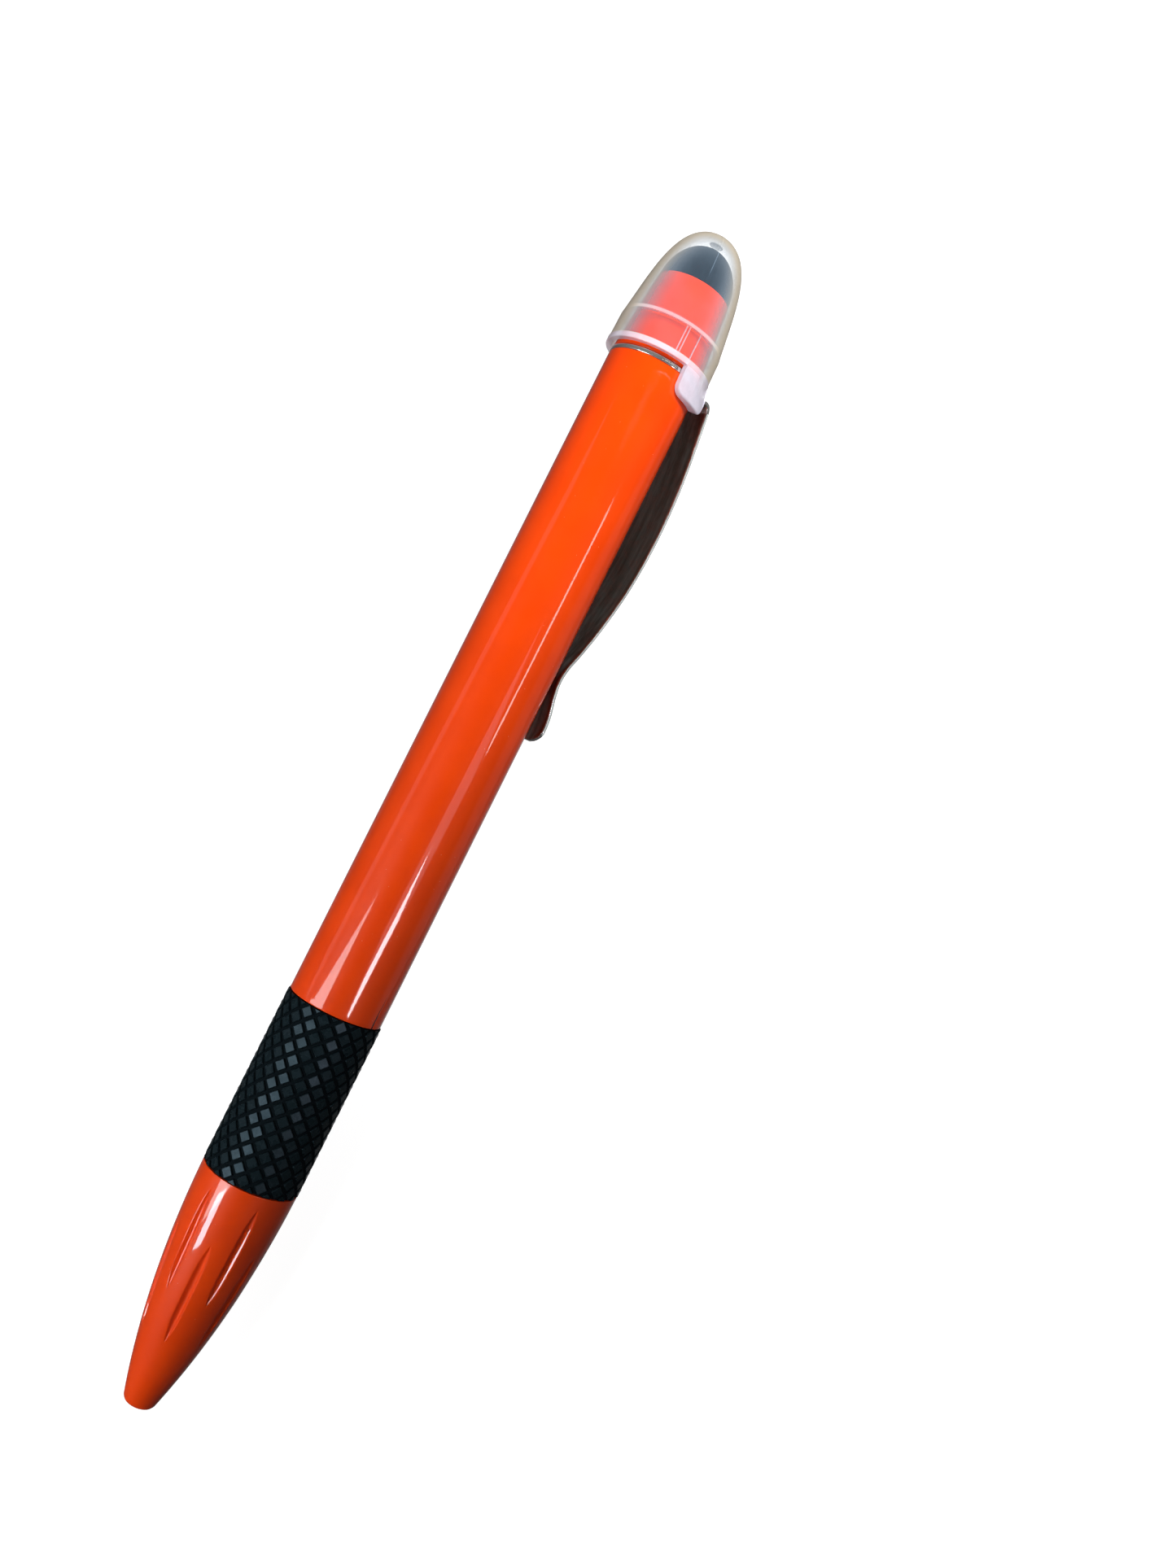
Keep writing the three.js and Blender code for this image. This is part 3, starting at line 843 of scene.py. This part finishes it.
def ear(start, end):
    """One of the two ears that reach down from the cap's rim beside the clip's shoulder."""
    steps = 44
    depth = 3.25
    rings = []
    for i in range(steps + 1):
        angle = start + (end - start) * i / steps
        across = min(1, abs(2 * i / steps - 1))
        bottom = CAP_RIM + 0.1 - depth * (1 - across**5) ** 0.2
        flare = 0.87 - 0.45 * abs(angle - CLIP_TURN)
        corners = [
            [bottom, BARREL_R + 0.15, 0.1],
            [CAP_RIM + 0.4, BARREL_R + 0.15],
            [CAP_RIM + 0.4, CAP_RIM_R - 0.05],
            [bottom, CAP_RIM_R + flare, 0.28],
        ]
        section = np.array(rounded(corners))
        rings.append(place(section[:, 0], section[:, 1], angle))
    return swept("ear", np.array(rings))


def rib(turn, width, start=CAP_RIM + 0.35, end=CAP_STEP + 0.1):
    """A low moulding rib inside the cap's skirt."""
    half = math.radians(width) / 2
    rings = []
    for x in (start, end):
        crest = [(5.5, -half), (5.34, -0.6 * half), (5.34, 0.6 * half), (5.5, half)]
        section = crest + [(5.6, half), (5.6, -half)]
        rings.append([place(x, radius, turn + shift) for radius, shift in section])
    return swept("rib", np.array(rings))


def veil_of(face):
    """How cloudy a face of the cap is, from where it is and which way it looks."""
    x = (face.center.x - NOSE_X) / MM
    spoke = Vector((0, face.center.y - AXIS_Y, face.center.z - AXIS_Z))
    radius = spoke.length / MM
    inward = face.normal.dot(spoke.normalized()) < -0.2
    if x < CAP_RIM - 0.05:
        return EAR_VEIL
    if x < CAP_RIM + 0.62:
        return RIM_VEIL
    if abs(face.normal.x) > 0.8 and x < CAP_STEP + 0.3:
        return STEP_VEIL
    if inward and x < CAP_STEP - 0.1 and radius < 5.38:
        return RIB_VEIL
    return INSIDE_VEIL if inward else WALL_VEIL


def cap():
    """The clear cap: a domed shell with a stepped inside, a raised rim, two ears and three ribs."""
    outside = bezier([(127.6, 6.01), (133, 5.13), (CAP_APEX, 5.05), (CAP_APEX, 0)], 40)
    inside = bezier([(139.35, 0), (139.35, 4.4), (132.8, 4.4), (CAP_STEP, 5.12)], 32)
    outline = [
        *inside.tolist()[:-1],
        [CAP_STEP, 5.12, 0.05],
        [CAP_STEP, 5.42, 0.05],
        [CAP_RIM, 5.46, 0.08],
        [CAP_RIM, CAP_RIM_R, 0.15],
        [CAP_RIM + 0.6, CAP_RIM_R, 0.05],
        [CAP_RIM + 0.68, CAP_RIM_R - 0.08, 0.05],
        *outside.tolist(),
    ]
    body = turned("cap_shell", outline, FINE_SIDES)
    near = math.radians(40)
    far = math.radians(95)
    extras = [ear(CLIP_TURN - far, CLIP_TURN - near), ear(CLIP_TURN + near, CLIP_TURN + far)]
    extras += [rib(math.radians(17), 2.4), rib(math.radians(21), 2.4), rib(math.radians(37), 3)]
    changed(body, "UNION", extras)
    shade(body, 32)
    veil = body.data.attributes.new("veil", "FLOAT", "FACE")
    veil.data.foreach_set("value", [veil_of(face) for face in body.data.polygons])
    fit(body, "cap", "clear_plastic", CLEAR, "cap")


cap()


# ---- mechanism, refill and reservoir -----------------------------------------------------------


def refill_tip():
    """The brass writing point and its steel ball."""
    outline = [
        [3.3, 0.40],
        [3.3, 0.50, 0.05],
        [3.9, 0.62],
        [7.2, 1.05, 0.3],
        [17.95, 1.05, 0.05],
        [17.95, 0.88],
        [22, 0.88, 0.05],
        [22, 0.25],
        [3.8, 0.25],
    ]
    fit(turned("refill_point", outline, 96), "carriage", "brass", BRASS, "refill_tip")
    ball = [
        [BALL_FRONT + BALL_R * (1 - math.cos(a)), BALL_R * math.sin(a)] for a in np.linspace(0, math.pi, 25)
    ]
    ball[0][1] = ball[-1][1] = 0
    fit(turned("ball", ball, 48, 60), "carriage", "steel", STEEL, "writing_ball")


def spring():
    """The coil of wire, carried on the carriage with the refill."""
    wire = 0.17
    turns = 8
    steps = 28
    start = 5.2 + GAP + wire
    end = REFILL_START - GAP - wire
    round_wire = np.linspace(0, 2 * math.pi, 10, endpoint=False)
    t = np.arange(turns * steps + 1)[:, None]
    x = start + (end - start) * t / (turns * steps) + wire * np.cos(round_wire)
    rings = place(x, 1.45 + wire * np.sin(round_wire), t / steps * 2 * math.pi)
    obj = swept("spring", rings, 50)
    fit(obj, "carriage", "steel", STEEL, "return_spring")
    rear = place(REFILL_START - GAP, 0, 0)
    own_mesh(obj)


def drilled(name, outline, drill, sides=SMALL_SIDES):
    """A turned piece after a boolean cut."""
    obj = turned(name, outline, sides)
    changed(obj, "DIFFERENCE", drill)
    shade(obj, 32)
    return obj


def block(lo, hi):
    """A box between two corners, each x along the pen and y and z from its axis, as a cutter."""
    origin = Vector((NOSE_X, AXIS_Y, AXIS_Z))
    spans = itertools.product(*zip(lo, hi))
    corners = [origin + Vector(corner) * MM for corner in spans]
    faces = [(0, 1, 3, 2), (4, 6, 7, 5), (0, 4, 5, 1), (2, 3, 7, 6), (0, 2, 6, 4), (1, 5, 7, 3)]
    return build("block", corners, faces)


def crossbar(name, radius, half, edge=0.0):
    """A round bar through the axis at the cross pin's place, along Z."""
    outline = [(-half, 0), (-half, radius - edge), (-half + edge, radius), (half - edge, radius)]
    outline += [(half, radius - edge), (half, 0)]
    turns = np.linspace(0, 2 * math.pi, 40, endpoint=False)
    rings = [
        np.stack(
            [
                NOSE_X + (PIN_REST + r * np.cos(turns)) * MM,
                AXIS_Y + r * np.sin(turns) * MM,
                np.full_like(turns, AXIS_Z + z * MM),
            ],
            axis=-1,
        )
        for z, r in outline
    ]
    return build(name, np.array(rings), quads(len(rings), 40, False), 40)


def helix_cutter(first):
    """The room one of the cam's slots takes: it runs half a turn while it comes forward."""
    half = 0.76
    inner = 2.4
    outer = 5.2
    rings = []
    for turn in np.linspace(-0.2, math.pi + 0.2, 90):
        x = PIN_REST - TRAVEL * turn / math.pi
        corners = [(x - half, inner), (x + half, inner), (x + half, outer), (x - half, outer)]
        rings.append([place(px, pr, first + turn) for px, pr in corners])
    return swept("cutter", np.array(rings))


def front_inner():
    """What turns with the nose inside the pen: the brass tube, its friction ring and the drive tube."""
    section = [
        [15.6, 2, 0.05], [15.6, 3.6, 0.1], [26.5, 3.6], [26.5, 4.3, 0.08], [46.1, 4.3, 0.1], [46.1, 3.4],
        [50.6, 3.4, 0.05], [50.6, 2.8], [51.4, 2.8], [51.4, 3.4, 0.05], [57, 3.4, 0.05], [57, 3],
        [57.8, 3], [57.8, 3.4, 0.05], [62, 3.4, 0.1], [62, 2.4, 0.05], [55, 2.4], [55, 2, 0.05],
    ]
    fit(turned("inner_tube", section, 96), "front_section", "brass", BRASS, "section_tube")
    round_wire = np.linspace(0, 2 * math.pi, 20, endpoint=False)
    ring = [[51 + 0.32 * math.cos(a), 3.17 + 0.32 * math.sin(a)] for a in round_wire]
    fit(turned("o_ring", ring, 96, 60), "front_section", "seal_rubber", SEAL, "friction_ring")
    drive = [
        [55.2, 2, 0.05], [55.2, 2.3, 0.05], [62.1, 2.3], [62.1, 3.3, 0.08], [63.1, 3.3, 0.08], [63.1, 2.75],
        [89, 2.75, 0.1], [89, 2, 0.05],
    ]
    slot = block((77.35, -0.65, -4), (84.65, 0.65, 4))
    slotted = drilled("slotted_tube", drive, [slot], 96)
    fit(slotted, "front_section", "white_plastic", WHITE_PLASTIC, "drive_tube")


def snap_ring():
    """The open spring ring that holds the front section in: an arc of flat wire with rounded ends."""
    turns = np.linspace(0.42, 2 * math.pi - 0.42, 90)
    wire = [[57.12, 3.12, 0.08], [57.12, 4.28, 0.1], [57.68, 4.28, 0.1], [57.68, 3.12, 0.08]]
    section = rounded(wire)
    rings = [[place(x, radius, turn) for x, radius in section] for turn in turns]
    fit(swept("snap_ring", np.array(rings)), "front_section", "steel", STEEL, "retaining_clip")


def refill():
    """The refill's tube, ink and grease plug, and the plunger and cross pin that push it."""
    barrel = turned("refill_barrel", tube(18, 79.5, 0.95, 1.5), 64)
    fit(barrel, "carriage", "white_plastic", WHITE_PLASTIC, "refill_tube")
    meniscus = [[66.1 - 0.12 * (1 - (r / 0.88) ** 2), r] for r in np.linspace(0.88, 0, 8)]
    ink = [[22.1, 0], [22.1, 0.88, 0.05], *meniscus]
    fit(turned("ink", ink, 48), "carriage", "ink", INK, "ink_column")
    plug = [[66.12, 0], [66.12, 0.88, 0.04], [69.5, 0.88, 0.1], [69.4, 0.5], [69.35, 0]]
    fit(turned("grease", plug, 48), "carriage", "grease", GREASE, "ink_follower")
    body = [
        [79.7, 0], [79.7, 1.58, 0.05], [76, 1.58, 0.05], [76, 1.88, 0.08], [88.6, 1.88, 0.2], [88.6, 0],
    ]
    bored = drilled("push_rod", body, [crossbar("drill", 0.55, 3)], 96)
    fit(bored, "carriage", "dark_plastic", DARK_PLASTIC, "plunger")
    fit(crossbar("pin", PIN_R, PIN_LENGTH / 2, 0.12), "carriage", "steel", STEEL, "cross_pin")


def barrel_inner():
    """What is fixed in the barrel: the journal, the cam, the plug, and the marker's ink store."""
    fit(turned("journal", tube(46.6, 56.9, 3.54, INSERT_R), 96), "barrel", "brass", BRASS, "barrel_bush")
    cam = drilled("cam", tube(74.5, 90, 2.9, INSERT_R), [helix_cutter(0), helix_cutter(math.pi)], 128)
    fit(cam, "barrel", "dark_plastic", DARK_PLASTIC, "cam_sleeve")
    plug = [
        [91.3, 0], [91.3, 2.9, 0.1], [90.1, 2.9], [90.1, INSERT_R, 0.1], [93.7, INSERT_R, 0.1], [93.7, 0],
    ]
    fit(turned("plug", plug, 96), "barrel", "dark_plastic", DARK_PLASTIC, "mechanism_plug")
    cup = [
        [93.8, 0], [93.8, INSERT_R, 0.15], [118.2, INSERT_R, 0.05], [118.2, 3.75, 0.05], [95, 3.75, 0.2],
        [95, 0],
    ]
    fit(turned("cup", cup, 96), "barrel", "white_plastic", WHITE_PLASTIC, "reservoir_cup")
    bundle = [[95.2, 0], [95.2, 3.62, 0.25], [122, 3.62, 0.2], [122, 1, 0.05], [116.6, 1], [116.6, 0]]
    fit(turned("ink_store", bundle, 96), "barrel", "fibre", FIBRE, "fibre_reservoir")
    fit(turned("wick_rod", rod(116.7, 134.4, 0.9, 0.12), 48), "barrel", "fibre", FIBRE, "wick")
    holder = turned("holder", tube(122.2, 129.2, 1, 3.68), 96)
    fit(holder, "barrel", "white_plastic", WHITE_PLASTIC, "nib_holder")


refill_tip()
spring()
front_inner()
snap_ring()
refill()
barrel_inner()


# ---- stage ------------------------------------------------------------------------------------

CAMERA_SPOT = Vector((NOSE_X + 73.46 * MM, AXIS_Y - 13.65 * MM, AXIS_Z + 144.97 * MM))
CAMERA_RIGHT = Vector((0.44347, -0.89608, 0.01933))
CAMERA_UP = Vector((0.89523, 0.44389, 0.03902))
CAMERA_BACK = Vector((-0.04354, 0, 0.99905))
CAMERA_LENS = 30.71
FILL = 0.10


def floor():
    """A plain pale floor, bright enough to read as white and dull enough not to tint the pen."""
    size = 3.0
    corners = [(-size, -size, 0), (size, -size, 0), (size, size, 0), (-size, size, 0)]
    mesh = bpy.data.meshes.new("floor")
    mesh.from_pydata(corners, [], [(0, 1, 2, 3)])
    obj = bpy.data.objects.new("floor", mesh)
    bpy.context.scene.collection.objects.link(obj)
    look = Look("floor", Roughness=0.9, Specular_IOR_Level=0.0)
    look.colour(look.mix(look.noise(3, 2), (0.24, 0.24, 0.24), (0.26, 0.26, 0.26)))
    look.shader.inputs["Emission Color"].default_value = (1, 1, 1, 1)
    seen = look.add("ShaderNodeLightPath").outputs["Is Camera Ray"]
    look.link(look.ramp(seen, 0, 1, 0.0, 0.95), look.shader.inputs["Emission Strength"])
    obj.data.materials.append(look.material)
    obj.visible_glossy = False


def room():
    """Soft room light: a low even fill, reflections that are darkest straight above the pen and
    bright where they show the floor edge-on, and a white backdrop."""
    world = bpy.data.worlds.new("room")
    world.use_nodes = True
    bpy.context.scene.world = world
    nodes = world.node_tree.nodes
    links = world.node_tree.links
    split = nodes.new("ShaderNodeSeparateXYZ")
    links.new(nodes.new("ShaderNodeTexCoord").outputs["Generated"], split.inputs[0])
    fade = nodes.new("ShaderNodeValToRGB")
    ramp = fade.color_ramp.elements
    ramp[1].position = 0.9
    for position in (0.05, 0.2, 0.5):
        ramp.new(position)
    for element, level in zip(ramp, (0.6, 0.15, 0.04, 0.035, 0.005)):
        element.color = (level, level, level, 1)
    height = nodes.new("ShaderNodeMapRange")
    height.inputs["From Min"].default_value = -1
    links.new(split.outputs["Z"], height.inputs["Value"])
    links.new(height.outputs["Result"], fade.inputs["Fac"])
    path = nodes.new("ShaderNodeLightPath")
    level = fade.outputs["Color"]
    for ray, value in (("Is Diffuse Ray", FILL), ("Is Camera Ray", 1.0)):
        mix = nodes.new("ShaderNodeMix")
        mix.data_type = "RGBA"
        sockets = {s.name: s for s in mix.inputs if s.type == "RGBA"}
        links.new(path.outputs[ray], mix.inputs["Factor"])
        links.new(level, sockets["A"])
        sockets["B"].default_value = (value, value, value, 1)
        level = next(s for s in mix.outputs if s.type == "RGBA")
    links.new(level, nodes["Background"].inputs["Color"])


def add_light(name, kind, spot, target, colour, glossy, along=(1, 0, 0)):
    """A light at one point that looks at another. It either shows in reflections or lights the matt
    colour, as a hidden source or a reflector would."""
    data = bpy.data.lights.new(name, kind)
    data.color = colour
    obj = bpy.data.objects.new(name, data)
    bpy.context.scene.collection.objects.link(obj)
    back = (Vector(spot) - Vector(target)).normalized()
    side = (Vector(along) - back * back.dot(Vector(along))).normalized()
    turn = Matrix((side, back.cross(side), back)).transposed()
    obj.matrix_world = Matrix.Translation(spot) @ turn.to_4x4()
    obj.visible_camera = False
    obj.visible_glossy = glossy
    obj.visible_diffuse = not glossy
    return obj


def panel(name, spot, target, size, glow, colour=(1, 1, 1), glossy=True, along=(1, 0, 0)):
    """A soft rectangular light. size is its length, in the direction along, and its width."""
    obj = add_light(name, "AREA", spot, target, colour, glossy, along)
    obj.data.shape = "RECTANGLE"
    obj.data.size, obj.data.size_y = size
    obj.data.energy = glow * math.pi * size[0] * size[1]


def mirrored(x, angle, tilt=0.0, radius=BARREL_R, distance=0.6):
    """Where a light has to be for the camera to see it mirrored at one place on the pen. tilt is how
    far the skin leans towards the nose there. Angles are in degrees."""
    angle, tilt = math.radians(angle), math.radians(tilt)
    spot = Vector(place(x, radius, angle))
    normal = Vector(
        (-math.sin(tilt), -math.sin(angle) * math.cos(tilt), math.cos(angle) * math.cos(tilt))
    )
    view = (CAMERA_SPOT - spot).normalized()
    return spot + (2 * normal.dot(view) * normal - view) * distance


def streak(name, first, last, width, glow, colour=(1, 1, 1)):
    """A panel mirrored in the pen's gloss from one place to another. width is in metres."""
    ends = [mirrored(*first), mirrored(*last)]
    middle = (ends[0] + ends[1]) / 2
    along = ends[1] - ends[0]
    target = Vector(place((first[0] + last[0]) / 2, 0, 0))
    panel(name, middle, target, (along.length, width), glow, colour, along=along)


def lamp(name, spot, target, colour, power, spread):
    """A lamp whose pool of light fades out all the way to its edge. spread is in degrees."""
    obj = add_light(name, "SPOT", spot, target, colour, False)
    obj.data.energy = power
    obj.data.spot_size = math.radians(spread)
    obj.data.spot_blend = 1.0
    obj.data.shadow_soft_size = 0.05


def camera():
    """The camera, almost straight above the pen and turned so that the pen runs up the picture."""
    data = bpy.data.cameras.new("camera")
    data.lens = CAMERA_LENS
    data.clip_start = 0.005
    obj = bpy.data.objects.new("camera", data)
    bpy.context.scene.collection.objects.link(obj)
    turn = Matrix((CAMERA_RIGHT, CAMERA_UP, CAMERA_BACK)).transposed()
    obj.matrix_world = Matrix.Translation(CAMERA_SPOT) @ turn.to_4x4()
    bpy.context.scene.camera = obj


floor()
room()
lamp("cap_lamp", (0.16, -0.09, 0.30), (0.060, 0, 0), (1.0, 0.98, 0.94), 7.5, 27)
lamp("nose_lamp", (-0.09, 0.13, 0.27), (NOSE_X + 0.009, 0, 0), (1.0, 0.97, 0.93), 3.1, 14.5)
panel("side_fill", (-0.20, 0.36, 0.27), (-0.02, 0, 0), (0.3, 0.3), 4.6, glossy=False)
streak("strip_low", (47, 21.5), (62, 23.5), 0.09, 19, (0.97, 0.92, 1.0))
streak("strip_high", (78, 30), (107, 31), 0.042, 9)
streak("window", (47, 20), (84, 25), 0.2, 1.2, (1.0, 0.90, 0.94))
streak("left_window", (46, -33), (112, -20), 0.09, 0.55, (1.0, 0.95, 0.95))
streak("right_wall", (44, 62), (112, 52), 0.3, 0.13)
streak("nose_window", (19.3, -14.5, 4.5, 5.0), (26.5, -15.5, 1.5, 5.35), 0.13, 18, (0.66, 0.86, 1.0))
streak("grip_window", (27, -24), (44, -8), 0.17, 7.0, (0.9, 0.98, 1.0))
streak("ring_glint", (123.5, 10), (123.5, 27), 0.004, 4)
camera()
bpy.context.scene.view_settings.view_transform = "Standard"
